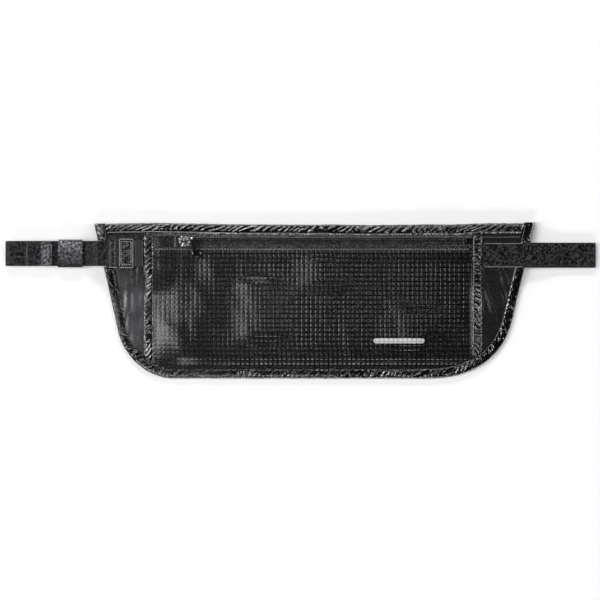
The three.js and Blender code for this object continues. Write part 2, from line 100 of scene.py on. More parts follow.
# Swells of the slack pocket front: start, top and end in x, height, and reach in y.
SWELLS = [
    (-86, -66, -46, 1.4, 22, 30),
    (-94, -72, -52, 1.1, -10, 4),
    (-60, -34, -4, 3.3, -24, 10),
    (-14, 20, 52, 2.8, 12, 30),
    (-116, -93, -66, 1.2, -36, -28),
    (54, 92, 128, 2.6, -28, -12),
]


# ---- number fields
def soft(pairs, at, reach=3.0):
    """Interpolation through pairs, with the corners rounded over reach."""
    xs, ys = zip(*pairs)
    steps = np.linspace(-reach, reach, 7)
    return sum(np.interp(np.asarray(at, float) + d, xs, ys) for d in steps) / len(steps)


def smooth(low, high, at):
    """0 below low, 1 above high, and an even curve between them."""
    t = np.clip((np.asarray(at, float) - low) / (high - low), 0, 1)
    return t * t * (3 - 2 * t)


def window(low, high, soften, at):
    """1 between low and high, and 0 outside, with edges soften wide."""
    return smooth(low - soften, low, at) * (1 - smooth(high, high + soften, at))


def noise(x, y, seed=0):
    """Smooth noise from -1 to 1, with one bump to a unit square."""
    x, y = np.broadcast_arrays(np.asarray(x, float), np.asarray(y, float))
    xi, yi = np.floor(x), np.floor(y)
    fx, fy = x - xi, y - yi

    def corner(i, j):
        value = np.sin((xi + i) * 127.1 + (yi + j) * 311.7 + seed * 74.7) * 43758.5453
        return (value - np.floor(value)) * 2 - 1

    ux, uy = fx * fx * (3 - 2 * fx), fy * fy * (3 - 2 * fy)
    low = corner(0, 0) * (1 - ux) + corner(1, 0) * ux
    high = corner(0, 1) * (1 - ux) + corner(1, 1) * ux
    return low * (1 - uy) + high * uy


def under(x, y):
    """Height of the pouch's underside: it rides over the strap and the buckle."""
    return soft(LIFT_ACROSS, y) * soft(LIFT_ALONG, x)


def front(x, y):
    """Height of the cloth that the tapes and the zip lie on."""
    return under(x, y) + FRONT_LOW + soft(DEPTH_ACROSS, y) * soft(DEPTH_ALONG, x)


def hem(x, y):
    """Height of the pocket's front before its slack is added."""
    return front(x, y) + soft(HEM, y, 1.5)


def hem_wave(x):
    """How the hem along the zip wanders up and down."""
    return 0.25 * noise(x / 30, 0.5, 21)


def upright_wander(y, t, seed):
    """How an upright tape wanders sideways, at a share t of its width."""
    return 0.22 * noise(y / 15, t * 0.5, seed + 3)


def top_line(x, inset):
    """A line at a distance under the pouch's slightly uneven upper edge."""
    return TOP_Y - inset + soft(TOP_RISE, x, 8) + 0.25 * noise(np.asarray(x) / 24, 0.3, 41)


def side_x(side, y):
    """The pouch's outline at a height y: a slanting side that turns into a round corner."""
    y = np.asarray(y, float)
    straight = side["top_x"] + side["inward"] * side["slant"] * (TOP_Y - y)
    t = np.clip((side["corner_y"] - y) / (side["corner_y"] - BOTTOM_Y), 0, 1)
    pull = 1 - (1 - t ** side["power"]) ** (1 / side["power"])
    return straight + side["inward"] * side["corner_x"] * pull


def edge_path(spacing):
    """Evenly spaced points down the left side, along the bottom and up the right, with inward normals."""
    turn = np.sin(np.linspace(0, math.pi / 2, 60))
    sides = []
    for side in (LEFT, RIGHT):
        ear = RIGHT_EAR if side is RIGHT else LEFT_EAR
        ys = np.concatenate([np.linspace(TOP_Y + ear, side["corner_y"], 40)[:-1],
                             side["corner_y"] - turn * (side["corner_y"] - BOTTOM_Y)])
        sides.append(np.stack([side_x(side, ys), ys], axis=1))
    rough = np.concatenate([sides[0], sides[1][::-1]])
    s, points, normals = resample(rough, spacing)
    level = smooth(38, 56, points[:, 1])[:, None]
    sideways = np.stack([np.where(points[:, 0] < 0, 1.027, -1.027), np.zeros(len(s))], axis=1)
    return s, points, normals * (1 - level) + sideways * level


def distances(points):
    """How far along a line each of its points is."""
    steps = np.linalg.norm(np.diff(points, axis=0), axis=1)
    return np.concatenate([[0], np.cumsum(steps)])


def unit(vectors):
    """Rows of vectors, each brought to a length of 1."""
    return vectors / np.linalg.norm(vectors, axis=1)[:, None]


def resample(rough, spacing):
    """Evenly spaced points along a polyline, with the normals to its left."""
    at = distances(rough)
    count = max(3, int(round(at[-1] / spacing)))
    s = np.linspace(0, at[-1], count + 1)
    points = np.stack([np.interp(s, at, rough[:, k]) for k in (0, 1)], axis=1)
    along = unit(np.gradient(points, axis=0))
    normals = np.stack([-along[:, 1], along[:, 0]], axis=1)
    return s, points, normals


def inset_edge(inset):
    """The edge path moved inwards."""
    _, points, normals = edge_path(1.0)
    return points + normals * inset


def bottom_y_at(x, inset):
    """Height of the edge tape's inner line under a given x."""
    line = inset_edge(inset)
    lowest = int(np.argmin(line[:, 1]))
    left, right = line[:lowest + 1], line[lowest:]
    return np.maximum(np.interp(x, left[:, 0], left[:, 1]), np.interp(x, right[:, 0], right[:, 1]))


# ---- meshes
def build(name, vertices, faces, material, body="belt", split=None):
    """A smooth-shaded piece that rides on a body; edges sharper than split degrees stay sharp."""
    mesh = bpy.data.meshes.new(name)
    mesh.from_pydata([tuple(v) for v in np.asarray(vertices) * MM], [], faces)
    mesh.materials.append(material)
    mesh.update()
    piece = bpy.data.objects.new(name, mesh)
    bpy.context.scene.collection.objects.link(piece)
    bm = bmesh.new()
    bm.from_mesh(mesh)
    bmesh.ops.recalc_face_normals(bm, faces=bm.faces)
    bm.to_mesh(mesh)
    bm.free()
    mesh.polygons.foreach_set("use_smooth", [True] * len(mesh.polygons))
    if split:
        mesh.set_sharp_from_angle(angle=math.radians(split))
    if body:
        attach(piece, body)
    return piece


def sweep(rings):
    """Vertices and faces of a closed tube through rings of shape (steps, points, 3), capped at both ends."""
    rings = np.asarray(rings, float)
    steps, count, _ = rings.shape
    faces = []
    for i in range(steps - 1):
        for k in range(count):
            a, b = i * count + k, i * count + (k + 1) % count
            faces.append((a, b, b + count, a + count))
    faces.append(tuple(range(count))[::-1])
    faces.append(tuple(range((steps - 1) * count, steps * count)))
    return rings.reshape(-1, 3), faces


def torus_faces(steps, count):
    """Faces over rings of count points that close on themselves in both directions."""
    faces = []
    for i in range(steps):
        here, ahead = i * count, (i + 1) % steps * count
        for k in range(count):
            after = (k + 1) % count
            faces.append((here + k, here + after, ahead + after, ahead + k))
    return faces


def sheet_solid(x, y, low, high):
    """A closed sheet over a grid, between two heights."""
    nu, nv = x.shape
    top = np.stack([x, y, high], axis=-1).reshape(-1, 3)
    bottom = np.stack([x, y, low], axis=-1).reshape(-1, 3)
    half = nu * nv
    faces = []
    for i in range(nu - 1):
        for j in range(nv - 1):
            a = i * nv + j
            quad = (a, a + nv, a + nv + 1, a + 1)
            faces.append(quad)
            faces.append(tuple(k + half for k in reversed(quad)))
    rim = [i * nv for i in range(nu)]
    rim += [(nu - 1) * nv + j for j in range(1, nv)]
    rim += [i * nv + nv - 1 for i in range(nu - 2, -1, -1)]
    rim += [j for j in range(nv - 2, 0, -1)]
    for a, b in zip(rim, rim[1:] + rim[:1]):
        faces.append((a, a + half, b + half, b))
    return np.concatenate([top, bottom]), faces


def merge(parts):
    """Several (vertices, faces) as one."""
    vertices, faces, start = [], [], 0
    for v, f in parts:
        vertices.append(v)
        faces += [tuple(k + start for k in face) for face in f]
        start += len(v)
    return np.concatenate(vertices), faces


# ---- materials
class Nodes:
    """A material's node tree, with one short call for each node."""

    def __init__(self, name):
        self.material = bpy.data.materials.new(name)
        self.material.use_nodes = True
        self.tree = self.material.node_tree
        self.shader = self.tree.nodes["Principled BSDF"]
        self.place = self.add("ShaderNodeTexCoord").outputs["Object"]

    def add(self, kind, **settings):
        node = self.tree.nodes.new(kind)
        for key, value in settings.items():
            setattr(node, key, value)
        return node

    def plug(self, source, socket):
        if isinstance(source, (int, float, tuple)):
            socket.default_value = source
        else:
            self.tree.links.new(source, socket)

    def math(self, operation, a, b=0.0, c=0.0):
        node = self.add("ShaderNodeMath", operation=operation)
        for value, socket in zip((a, b, c), node.inputs):
            self.plug(value, socket)
        return node.outputs[0]

    def times(self, first, *others):
        for value in others:
            first = self.math("MULTIPLY", first, value)
        return first

    def plus(self, first, *others):
        for value in others:
            first = self.math("ADD", first, value)
        return first

    def axes(self, turn=0.0):
        """X, Y and Z in millimetres, turned about Z by so many degrees."""
        source = self.place
        if turn:
            mapping = self.add("ShaderNodeMapping")
            mapping.inputs["Rotation"].default_value[2] = math.radians(turn)
            self.plug(source, mapping.inputs["Vector"])
            source = mapping.outputs[0]
        split = self.add("ShaderNodeSeparateXYZ")
        self.plug(source, split.inputs[0])
        return [self.math("MULTIPLY", out, 1000.0) for out in split.outputs]

    def noise(self, size_mm, detail=3.0, stretch=(1, 1, 1), turn=0.0):
        """Noise from 0 to 1 whose bumps are stretched along axes turned by so many degrees."""
        mapping = self.add("ShaderNodeMapping", vector_type="TEXTURE")
        mapping.inputs["Scale"].default_value = stretch
        mapping.inputs["Rotation"].default_value[2] = math.radians(turn)
        self.plug(self.place, mapping.inputs["Vector"])
        texture = self.add("ShaderNodeTexNoise")
        texture.inputs["Scale"].default_value = 1000.0 / size_mm
        texture.inputs["Detail"].default_value = detail
        self.plug(mapping.outputs[0], texture.inputs["Vector"])
        return texture.outputs["Fac"]

    def speckle(self, size_mm, detail=2.0):
        """Noise spread over the full range from 0 to 1."""
        return self.remap(self.noise(size_mm, detail), 0.36, 0.64)

    def crinkle(self, size_mm, stretch, turn):
        """Sharp ridges on flat ground, 1 at their tops, that run along the turned direction."""
        swing = self.remap(self.noise(size_mm, 1.0, (stretch, 1, 1), turn), 0.3, 0.7, -1.8, 1.8)
        ridge = self.math("SUBTRACT", 1.0, self.math("MINIMUM", self.math("ABSOLUTE", swing), 1.0))
        return self.math("POWER", ridge, 1.8)

    def ridge(self, coordinate, pitch, phase=0.0):
        """0 to 1 and back once in each pitch."""
        wave = self.math("MULTIPLY_ADD", coordinate, 2 * math.pi / pitch, phase)
        return self.math("MULTIPLY_ADD", self.math("SINE", wave), 0.5, 0.5)

    def line(self, coordinate, pitch, width):
        """1 on a thin line once in each pitch, and 0 elsewhere."""
        step = self.math("PINGPONG", coordinate, pitch / 2)
        return self.remap(step, width * 0.35, width * 0.65, 1.0, 0.0)

    def remap(self, value, a, b, c=0.0, d=1.0):
        node = self.add("ShaderNodeMapRange")
        node.inputs["From Min"].default_value = a
        node.inputs["From Max"].default_value = b
        node.inputs["To Min"].default_value = c
        node.inputs["To Max"].default_value = d
        self.plug(value, node.inputs["Value"])
        return node.outputs[0]

    def blend(self, factor, first, second):
        node = self.add("ShaderNodeMix", data_type="RGBA")
        self.plug(factor, node.inputs["Factor"])
        for value, socket in ((first, node.inputs[6]), (second, node.inputs[7])):
            self.plug((*value, 1.0) if isinstance(value, tuple) else value, socket)
        return node.outputs[2]

    def bump(self, height, distance_mm, strength=1.0, under=None):
        node = self.add("ShaderNodeBump")
        node.inputs["Distance"].default_value = distance_mm * MM
        node.inputs["Strength"].default_value = strength
        self.plug(height, node.inputs["Height"])
        if under:
            self.plug(under, node.inputs["Normal"])
        return node.outputs[0]

    def finish(self, colour, roughness, normal=None, **uniform):
        """Links colour, roughness and normal, and sets every other socket by its name."""
        self.plug(colour, self.shader.inputs["Base Color"])
        self.plug(roughness, self.shader.inputs["Roughness"])
        if normal:
            self.plug(normal, self.shader.inputs["Normal"])
        for name, value in uniform.items():
            self.shader.inputs[name.replace("_", " ")].default_value = value
        return self.material


COOL = (1.0, 0.98, 1.06)  # tint of the black cloth


def grey(value, tint=(1.0, 1.0, 1.0)):
    """A grey as red, green and blue."""
    return tuple(value * t for t in tint)


def ripstop_material(
    name, value, pitch=RIPSTOP_PITCH, line_width=1.0, sheen=0.06, roughness=0.4, grid_depth=0.9, painted_light=False,
):
    """Plain weave with a heavier thread once in each square.

    The squares fade where the cloth is slack. Their grid lines are painted near black, painted shade in their
    recesses, and the cloth is painted darker towards the right, painted shade away from the light. Optionally
    a paler sheen patch low on the left wing is painted in, a painted highlight.
    """
    n = Nodes(name)
    x, y, _ = n.axes()
    grid = n.math("MAXIMUM", n.line(x, pitch, line_width), n.line(y, pitch, line_width))
    weave = n.times(n.ridge(x, 0.62), n.ridge(y, 0.62, math.pi / 2))
    speckle = n.speckle(1.3)
    drawn = n.remap(x, -115.0, -15.0, 0.35, 1.0)
    broken = n.times(grid, n.remap(n.noise(2.6, 1.0), 0.36, 0.56, 0.7, 1.0), drawn, grid_depth)
    colour = n.blend(speckle, grey(value * 0.5, COOL), grey(value * 1.5, COOL))
    if painted_light:
        # painted highlight: a paler sheen patch low on the left wing, where the light catches the cloth
        patch = n.times(n.remap(x, -121.0, -119.0, 1.0, 0.0), n.remap(y, 20.0, 27.0, 1.0, 0.0))
        patch = n.times(patch, n.remap(n.noise(14.0, 2.0), 0.3, 0.7, 0.25, 1.0))
        colour = n.blend(patch, colour, grey(value * 4.2, COOL))
    # painted shade: the cloth is painted darker towards the right, away from the light
    colour = n.blend(n.remap(x, 10.0, 110.0, 0.0, 0.6), colour, grey(value * 0.3, COOL))
    # painted shade: the grid lines are painted near black, as shade in their recesses, over the heavier
    # thread's own pattern
    colour = n.blend(broken, colour, grey(value * 0.04))
    shade = n.remap(n.noise(38.0, 3.0), 0.3, 0.7, roughness + 0.05, roughness - 0.05)
    shade = n.plus(shade, n.remap(speckle, 0.0, 1.0, -0.04, 0.04), n.times(broken, -0.16))
    puffed = n.times(n.ridge(x, pitch, -math.pi / 2), n.ridge(y, pitch, -math.pi / 2))
    puffed = n.times(puffed, drawn, 2.2 * grid_depth, n.remap(x, 10.0, 110.0, 1.0, 0.4))
    height = n.plus(puffed, n.times(weave, 0.3), n.times(broken, -0.9))
    normal = n.bump(height, 0.11, 1.0)
    normal = n.bump(speckle, 0.035, 1.0, normal)
    return n.finish(colour, shade, normal, Sheen_Weight=sheen, Sheen_Roughness=0.4, Specular_IOR_Level=0.45)


def tape_material(name, value, roughness=0.2, gloss=0.7, depth=0.12):
    """Satin binding tape, drawn into sharp slanting crinkles."""
    n = Nodes(name)
    x, _, z = n.axes(38)
    rib = n.ridge(n.plus(x, z), 0.6)
    colour = n.blend(n.speckle(1.4), grey(value * 0.5, COOL), grey(value * 1.6, COOL))
    shade = n.remap(n.noise(5.0, 3.0), 0.35, 0.65, roughness + 0.12, roughness - 0.04)
    height = n.plus(n.crinkle(4.0, 2.6, 40), n.times(n.crinkle(2.2, 2.0, 60), 0.5), n.times(rib, 0.02))
    normal = n.bump(height, depth, 1.0)
    return n.finish(colour, shade, normal, Specular_IOR_Level=gloss)


def elastic_material(name, value, centre=STRAP_Y, half=STRAP_HALF, diagonal=False, fade=0.0):
    """Knitted elastic: slanting rows and a firmer line near each edge. Fade paints shade on its lower side:
    it gets darker towards the bottom, painted shade away from the light.
    """
    n = Nodes(name)
    x, y, z = n.axes(45 if diagonal else 0)
    along = n.plus(x, z)
    rows = [n.ridge(n.math(operation, along, y), 2.1) for operation in ("ADD", "SUBTRACT")]
    knit = n.times(*rows)
    speckle = n.speckle(1.6)
    mixed = n.remap(n.plus(n.times(knit, 0.6), n.times(speckle, 0.7)), 0.4, 0.7)
    colour = n.blend(mixed, grey(value * 0.04, COOL), grey(value * 4.0, COOL))
    _, true_y, _ = n.axes()
    reach = n.math("ABSOLUTE", n.math("SUBTRACT", true_y, centre))
    edge = n.remap(reach, half - 1.5, half - 0.7)
    colour = n.blend(n.times(edge, 0.45), colour, grey(value * 2.2, COOL))
    if fade:
        # painted shade: darker towards the lower side, which turns away from the light
        painted_light = n.remap(true_y, centre - half, centre + half, fade, 0.0)
        colour = n.blend(painted_light, colour, grey(value * 0.12, COOL))
    height = n.plus(knit, n.times(speckle, 0.5))
    normal = n.bump(height, 0.16, 1.0)
    shade = n.remap(mixed, 0.0, 1.0, 0.25, 0.4)
    return n.finish(colour, shade, normal, Sheen_Weight=0.02, Sheen_Roughness=0.5, Specular_IOR_Level=0.1)


def woven_tape_material(name, value):
    """Herringbone zip tape."""
    n = Nodes(name)
    x, y, _ = n.axes()
    slant = n.plus(x, n.math("PINGPONG", y, 1.8))
    twill = n.ridge(slant, 1.9)
    speckle = n.speckle(1.6)
    mixed = n.remap(n.plus(n.times(twill, 0.4), n.times(speckle, 0.7)), 0.3, 0.8)
    colour = n.blend(mixed, grey(value * 0.1, COOL), grey(value * 2.6, COOL))
    normal = n.bump(n.plus(twill, n.times(speckle, 0.7)), 0.2, 1.0)
    return n.finish(colour, 0.26, normal, Sheen_Weight=0.03, Sheen_Roughness=0.45, Specular_IOR_Level=0.5)


def hard_material(
    name, value, roughness, metallic=0.0, wear=0.0, coat=0.0, grain=0.12, dents=0.0, patchy=0.25,
):
    """Moulded plastic, rubber or metal: patchy in colour, and rubbed on its raised places if it has wear."""
    n = Nodes(name)
    speckle = n.noise(0.7, 3.0)
    patches = n.noise(4.0, 4.0)
    spread = n.remap(patches, 0.35, 0.65)
    colour = n.blend(spread, grey(value * (1 - patchy)), grey(value * (1 + patchy)))
    if wear:
        pointiness = n.add("ShaderNodeNewGeometry").outputs["Pointiness"]
        rubbed = n.remap(pointiness, 0.52, 0.6)
        rubbed = n.times(rubbed, n.remap(patches, 0.4, 0.6, 0.3, 1.0))
        colour = n.blend(n.times(rubbed, wear), colour, grey(0.5))
    shade = n.remap(patches, 0.3, 0.7, roughness - 0.05, roughness + 0.08)
    normal = n.bump(speckle, grain, 0.35)
    if dents:
        normal = n.bump(n.noise(2.6, 1.0), dents, 1.0, normal)
    return n.finish(colour, shade, normal, Metallic=metallic, Coat_Weight=coat, Coat_Roughness=0.1)


def thread_material(name, value):
    """Twisted sewing thread."""
    n = Nodes(name)
    twist = n.ridge(n.axes(45)[0], 0.5)
    colour = n.blend(twist, grey(value * 0.6), grey(value * 1.3))
    return n.finish(colour, 0.5, n.bump(twist, 0.05, 0.8), Sheen_Weight=0.2)


def print_material(name):
    """Light grey ink that follows the cloth's squares and has thinned a little with wear."""
    n = Nodes(name)
    x, y, _ = n.axes()
    grid = n.math("MAXIMUM", n.line(x, RIPSTOP_PITCH, 0.95), n.line(y, RIPSTOP_PITCH, 0.95))
    thin = n.remap(n.noise(1.0, 4.0), 0.3, 0.75, 0.0, 0.5)
    colour = n.blend(thin, grey(0.62), grey(0.3))
    colour = n.blend(n.times(grid, 0.5), colour, grey(0.12))
    normal = n.bump(n.times(grid, -1.0), 0.12, 0.7)
    return n.finish(colour, 0.55, normal, Specular_IOR_Level=0.3)


RIPSTOP = ripstop_material("ripstop", 0.015, sheen=0.02, roughness=0.25)
# the wing cloth adds a painted highlight: a paler sheen patch low on the left wing
WING_CLOTH = ripstop_material("wing_cloth", 0.016, sheen=0.05, roughness=0.28, grid_depth=0.12, painted_light=True)
LINING = ripstop_material("lining", 0.02, pitch=1.8, line_width=0.5, sheen=0.2, roughness=0.6)
PATCH = ripstop_material("patch_cloth", 0.014, sheen=0.2, grid_depth=0.0)
TAPE = tape_material("binding_tape", 0.0015, roughness=0.1, gloss=1.0)
POCKET_TAPE = tape_material("pocket_tape", 0.003, roughness=0.17, gloss=0.8)
ELASTIC = elastic_material("elastic", 0.011)
# the hem is a lighter copy of the elastic: a painted highlight where the doubled end catches more light
ELASTIC_HEM_PAINTED_LIGHT = elastic_material("elastic_hem_painted_light", 0.05)
# the keeper's pale elastic is painted darker towards its lower side: painted shade
ELASTIC_PALE = elastic_material("elastic_keeper", 0.085, half=11.2, fade=1.0)
WEBBING = elastic_material("webbing_tab", 0.016, half=12.0)
TWILL = elastic_material("webbing_twill", 0.022, half=20.0, diagonal=True)
ZIP_TAPE = woven_tape_material("zip_tape", 0.02)
COIL = hard_material("zip_coil", 0.028, 0.2, grain=0.05, patchy=0.8)
METAL = hard_material("black_nickel", 0.12, 0.22, metallic=1.0, grain=0.03)
CAST_METAL = hard_material("cast_metal", 0.55, 0.26, metallic=1.0, grain=0.04, dents=1.1, patchy=0.6)
LINK_METAL = hard_material("link_metal", 0.08, 0.3, metallic=1.0, grain=0.03, dents=0.8, patchy=0.7)
RUBBER = hard_material("rubber", 0.005, 0.2, coat=0.5, grain=0.03)
PLASTIC = hard_material("buckle_plastic", 0.018, 0.36, wear=0.1)
THREAD = thread_material("thread", 0.16)
# dark thread, which also stands in as painted shade where a row lies in a groove or away from the light
DARK_THREAD_PAINTED_SHADE = thread_material("dark_thread_painted_shade", 0.008)
# pale thread, which also stands in as a painted highlight where a row or a folded edge catches the light
PALE_THREAD_PAINTED_HIGHLIGHT = thread_material("pale_thread_painted_highlight", 0.34)
PRINT = print_material("print_ink")


# ---- cloth
def wing_folds(x, y):
    """Gathers under the left tab, and soft folds under the right strap."""
    left = window(-158, -126, 4, x)
    gathers = np.abs(noise(x / 2.4, y / 20 + 5, 3)) * 1.2 - 0.3
    left_fold = left * gathers * (0.35 + 0.65 * window(-30, 24, 14, y))
    bulge = smooth(-160, -132, x) - smooth(-132, -126, x)
    left_fold = left_fold + 1.4 * bulge * window(-34, 10, 12, y)
    right = window(146, 182, 5, x)
    slanted = x * 0.93 + y * 0.28
    folds = np.abs(noise(slanted / 6.5, y / 26, 9)) * 1.2 - 0.2
    near_strap = 0.6 * np.exp(-(((x - 164) / 7) ** 2) - (((y - 13) / 6) ** 2))
    return left_fold + right * (folds * (0.25 + 0.75 * window(-20, 24, 14, y)) + near_strap)


def full_panel(name, low, high, material, lumps=None):
    """A panel as wide as the pouch, whose rim is under the edge tape."""
    inset = 1.4
    turn = np.sin(np.linspace(0, math.pi / 2, 34)) ** 0.9
    upper = np.linspace(TOP_Y - inset, CORNER_Y, 84)[:-1]
    ys = np.concatenate([upper, CORNER_Y + turn * (BOTTOM_Y - CORNER_Y)])
    ys = np.clip(ys, BOTTOM_Y + inset, None)
    ys = np.unique(np.round(ys, 4))
    u = np.linspace(0, 1, 281)
    y = np.repeat(ys[None, :], len(u), axis=0)
    shrink = (ys - (BOTTOM_Y + inset)) / (TOP_Y - BOTTOM_Y - 2 * inset)
    source = BOTTOM_Y + 0.35 + shrink * (TOP_Y - BOTTOM_Y - 0.35)
    x0, x1 = side_x(LEFT, source) + inset, side_x(RIGHT, source) - inset
    x = x0[None, :] + (x1 - x0)[None, :] * u[:, None]
    base = under(x, y) + (lumps(x, y) if lumps is not None else 0)
    return build(name, *sheet_solid(x, y, base + low, base + high), material)


def relief(x, y):
    """The slack of the pocket's front: six upright swells, which also make the crease left of the middle."""
    wander_x = x + 6 * noise(x / 34 + 2, y / 24, 8)
    wander_y = y + 7 * noise(x / 15, y / 34, 5)
    total = 0.3 * noise(x / 8 + y / 40, y / 22, 12)
    for start, top, end, height, low, high in SWELLS:
        profile = smooth(start, top, wander_x) - smooth(top, end, wander_x)
        total = total + height * profile * window(low, high, 15, wander_y)
    inside = window(POCKET_LEFT + 6, POCKET_RIGHT - 6, 6, x) * window(-44, 28, 11, y)
    return inside * total


def pocket_front():
    """The pocket's front, folded under along the zip and slack below it."""
    xs = np.linspace(POCKET_LEFT - 4, POCKET_RIGHT + 4, 330)
    v = np.linspace(0, 1, 130)
    low_y = np.maximum(bottom_y_at(xs, EDGE_TAPE) - 5, BOTTOM_Y + 2)
    x = np.repeat(xs[:, None], len(v), axis=1)
    y = low_y[:, None] + (POCKET_TOP - low_y[:, None]) * v[None, :]
    base = hem(x, y) + relief(x, y)
    below = POCKET_TOP - y
    fold = 0.3 * np.exp(-(((below - 0.7) / 0.7) ** 2)) - 0.3 * np.exp(-(((below - 1.9) / 0.5) ** 2))
    roll = -0.5 * smooth(POCKET_TOP - 0.9, POCKET_TOP, y)
    y = y + hem_wave(x) * smooth(20, POCKET_TOP, y)
    piece = build("cloth_pocket_front", *sheet_solid(x, y, base, base + 0.5 + fold + roll), RIPSTOP)
    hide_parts("pocket_front")
    return piece


# ---- tapes
def pucker(s, t, seed, slant, pitch):
    """Slanting ridges on flat ground, as on a tape sewn on under tension; t runs across it from 0 to 1."""
    phase = s / pitch + slant * t + 0.9 * noise(s / (2.6 * pitch), t * 0.9, seed + 1)
    wave = np.cos(2 * math.pi * phase) * 0.5 + 0.5
    strength = 0.55 + 0.45 * noise(s / (1.3 * pitch) + slant * t * 0.8, t * 1.2, seed)
    return wave ** 1.7 * strength


def tape_face(t, seam, seam_width, crown, lip, lip_width):
    """Height of a folded tape's front at a share t of its width, before its puckers: crown, seam and lip."""
    raised = crown * math.sin(math.pi * min(1, max(0, (t - seam) / (1 - seam))))
    stitched = 0.34 * math.exp(-(((t - seam) / seam_width) ** 2))
    return TAPE_FACE + raised - stitched - lip * (1 - smooth(0, lip_width, t))


def edge_binding():
    """Tape folded over the raw edge: top leg, rounded edge, and the leg behind."""
    s, edge, normals = edge_path(0.5)
    amount = 1.9 - 1.5 * smooth(120, 160, edge[:, 0])

    def leg(inset):
        return np.full(len(s), inset), *(edge + normals * inset).T

    sections = []  # inset and height of the outer face, then of the inner face
    for t in np.linspace(0, 1, 17):
        inset, x, y = leg(EDGE_TAPE + (TAPE_TURN - EDGE_TAPE) * t)
        fade = smooth(0.14, 0.42, t) * (1 - 0.45 * smooth(0.85, 1, t))
        ridge = amount * pucker(s, t, 31, 1.7, 4.4) * fade
        z = front(x, y) + tape_face(t, 0.16, 0.06, 0.25, 0.75, 0.09) + ridge
        sections.append((inset, z, inset, z - TAPE_THICK))
    _, x, y = leg(TAPE_TURN)
    high, low = sections[-1][1], under(x, y) + 0.02
    middle, radius = (high + low) / 2, (high - low) / 2
    wobble = 0.22 * noise(s / 3.3, 0.4, 38) + 0.12 * noise(s / 1.4, 0.4, 39)
    for angle in np.linspace(0, math.pi, 9)[1:-1]:
        reach = 1.35 + (0.8 * wobble - 2.0) * math.sin(angle)
        outer_z = middle + radius * math.cos(angle)
        inner_z = middle + (radius - TAPE_THICK) * math.cos(angle)
        sections.append((reach, outer_z, reach + TAPE_THICK * math.sin(angle), inner_z))
    for t in np.linspace(0, 1, 6):
        inset, x, y = leg(TAPE_TURN + (EDGE_TAPE - TAPE_TURN) * t)
        z = under(x, y) + 0.02
        sections.append((inset, z, inset, z + TAPE_BACK))
    outer_insets, outer_heights, inner_insets, inner_heights = zip(*sections)
    insets = np.stack(outer_insets + inner_insets[::-1], axis=1)
    heights = np.stack(outer_heights + inner_heights[::-1], axis=1)
    plan = edge[:, None, :] + normals[:, None, :] * insets[:, :, None]
    rings = np.concatenate([plan, heights[:, :, None]], axis=2)
    piece = build("tape_edge", *sweep(rings), TAPE, split=50)
    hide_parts("edge_binding")
    return edge, normals


def top_binding():
    """Tape folded over the top edge, between the side tapes, whose slant its ends follow."""
    u = np.linspace(0, 1, 720)

    def place(inset):
        y_line = TOP_Y - inset
        x0 = side_x(LEFT, y_line) + EDGE_TAPE + 0.15
        x1 = side_x(RIGHT, y_line) - EDGE_TAPE - 0.15
        x = x0 + (x1 - x0) * u
        return x, top_line(x, inset)

    drawn = 0.3 + 0.7 * smooth(10, 130, place(0)[0])
    sections = []
    for t in np.linspace(0, 1, 17):
        x, y = place(TOP_TAPE + (TAPE_TURN - TOP_TAPE) * t)
        fade = smooth(0.12, 0.38, t) * (1 - 0.45 * smooth(0.85, 1, t))
        ridge = 2.3 * drawn * pucker(x, t, 45, -1.7, 6.0) * fade
        z = front(x, y) + tape_face(t, 0.14, 0.05, 0.12, 0.45, 0.08) + ridge
        sections.append((x, y, z, z - TAPE_THICK))
    x, y_edge = place(TAPE_TURN)
    high, low = sections[-1][2], under(x, y_edge) + 0.02
    middle, radius = (high + low) / 2, (high - low) / 2
    wobble = 0.25 * noise(x / 3.6, 0.2, 47)
    for angle in np.linspace(0, math.pi, 9)[1:-1]:
        reach = (1.1 + wobble * 0.6) * math.sin(angle)
        z = middle + radius * math.cos(angle)
        sections.append((x, y_edge + reach, z, middle + (radius - TAPE_THICK) * math.cos(angle)))
    for t in np.linspace(0, 1, 6):
        x, y = place(TAPE_TURN + (TOP_TAPE - TAPE_TURN) * t)
        z = under(x, y) + 0.02
        sections.append((x, y, z, z + TAPE_BACK))
    outer = [np.stack([x, y, z], axis=1) for x, y, z, _ in sections]
    inner = [np.stack([x, y, z], axis=1) for x, y, _, z in sections][::-1]
    rings = np.stack(outer + inner, axis=1)
    piece = build("tape_top", *sweep(rings), TAPE, split=50)
    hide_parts("top_binding")


